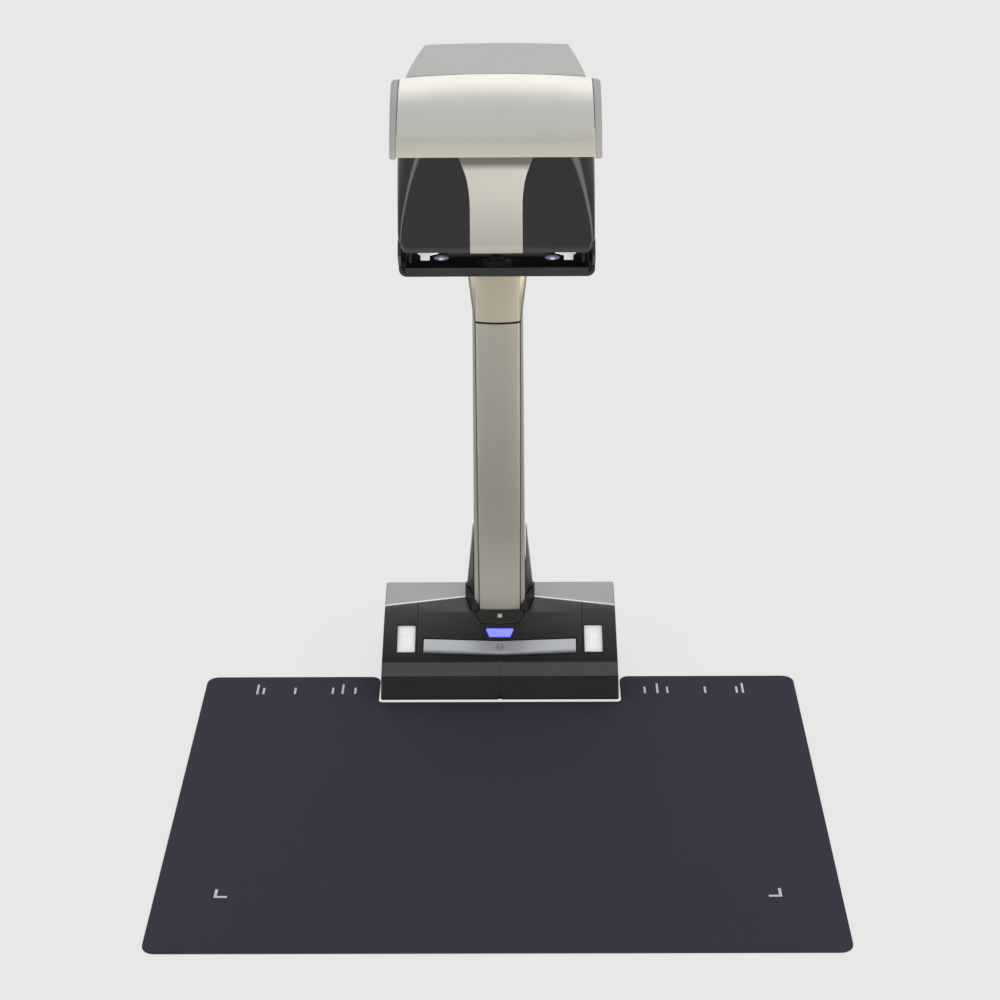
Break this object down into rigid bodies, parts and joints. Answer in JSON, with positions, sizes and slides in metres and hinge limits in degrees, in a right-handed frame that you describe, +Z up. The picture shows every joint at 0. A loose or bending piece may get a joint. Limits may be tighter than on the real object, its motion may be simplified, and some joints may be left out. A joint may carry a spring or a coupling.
{
  "type": "overhead book scanner",
  "caption": "Desktop overhead scanner: a base with push buttons and a lamp, a slim column, a hooded head with a sweeping scan unit, and a dark background mat.",
  "frame": {"origin": "on the table, at the centre of the footprint of the scanner and its mat", "axes": "+Z up along the column; -Y towards the reader, where the mat lies and the head looks; +X to the reader's right"},
  "size_m": [0.5246, 0.5219, 0.5495],
  "materials": {
    "mat_rubber": "fine matt grain",
    "foot_rubber": "matt",
    "silver_plastic": "satin, fine texture",
    "base_black": "satin, fine texture",
    "panel_plastic": "gloss",
    "button_plastic": "satin paint",
    "stop_plastic": "satin gloss",
    "led_lens": "frosted, lit",
    "floor_plastic": "matt",
    "reference_white": "matt",
    "column_paint": "satin paint",
    "foot_black": "gloss",
    "head_light": "satin",
    "head_black": "high gloss",
    "head_dark": "satin",
    "strip_plastic": "satin paint",
    "steel": "plain",
    "frame_aluminium": "extruded",
    "drum_black": "matt",
    "barrel_black": "black anodised",
    "lens": "coated",
    "diffuser": "translucent, lit",
    "gear_plastic": "smooth",
    "brass": "machined",
    "board": "circuit board",
    "cable": "sheathed",
    "socket_metal": "plated",
    "socket_black": "moulded",
    "screw_steel": "zinc plated"
  },
  "bodies": {
    "base": {"ballast_plate": "steel", "base_floor": "floor_plastic", "base_front_cover": "base_black", "base_rear_cover": "silver_plastic", "base_screw_front_left": "screw_steel", "base_screw_front_right": "screw_steel", "base_screw_rear_left": "screw_steel", "base_screw_rear_right": "screw_steel", "button_board": "board", "column_foot_cover": "foot_black", "column_frame": "frame_aluminium", "column_front_cover": "column_paint", "column_rear_cover": "column_paint", "control_panel": "panel_plastic", "dc_inlet": "socket_black", "head_bezel": "head_black", "head_board": "board", "head_centre_strip": "strip_plastic", "head_chassis": "steel", "head_front_cover": "head_light", "head_rear_cover": "head_dark", "head_shell": "head_black", "head_side_cover_left": "head_light", "head_side_cover_right": "head_light", "head_top_cover": "head_light", "head_under_cover": "head_dark", "main_board": "board", "neck_front_cover": "column_paint", "neck_rear_cover": "column_paint", "power_led_lens": "led_lens", "rubber_foot_front_left": "foot_rubber", "rubber_foot_front_right": "foot_rubber", "rubber_foot_rear_left": "foot_rubber", "rubber_foot_rear_right": "foot_rubber", "shaft_bush_left": "brass", "shaft_bush_right": "brass", "signal_cable": "cable", "sweep_motor": "steel", "usb_socket": "socket_metal", "white_reference_left": "reference_white", "white_reference_right": "reference_white"},
    "scan_unit": {"scan_drum": "drum_black", "lens_barrel": "barrel_black", "lens_glass": "lens", "sensor_board": "board", "lamp_housing_left": "drum_black", "lamp_housing_right": "drum_black", "lamp_diffuser_left": "diffuser", "lamp_diffuser_right": "diffuser", "drum_shaft_left": "steel", "drum_shaft_right": "steel", "sweep_gear": "gear_plastic"},
    "motor_pinion": {"motor_pinion": "brass"},
    "scan_key": {"scan_button": "button_plastic"},
    "stop_key": {"stop_button": "stop_plastic"},
    "mat": {"background_mat": "mat_rubber"}
  },
  "joints": [
    {"name": "scan_button_press", "type": "slide", "parent": "base", "child": "scan_key", "axis": [0, 0.4472, -0.8944], "range_m": [0, 0.0012], "stiffness_N_per_m": 600, "springref_m": -0.0005},
    {"name": "stop_button_press", "type": "slide", "parent": "base", "child": "stop_key", "axis": [0, 0.4472, -0.8944], "range_m": [0, 0.001], "stiffness_N_per_m": 400, "springref_m": -0.0005},
    {"name": "scan_sweep", "type": "hinge", "parent": "base", "child": "scan_unit", "pos_m": [0, 0.156, 0.41], "axis": [1, 0, 0], "range_deg": [-10, 26]},
    {"name": "pinion_spin", "type": "hinge", "parent": "base", "child": "motor_pinion", "pos_m": [0.0745, 0.156, 0.44015], "axis": [1, 0, 0], "range_deg": [-105, 41]},
    {"name": "mat_slide", "type": "slide", "parent": "base", "child": "mat", "axis": [0, -1, 0], "range_m": [0, 0.06]}
  ],
  "couplings": [
    {"joint": "pinion_spin", "follows": "scan_sweep", "ratio": -4}
  ]
}
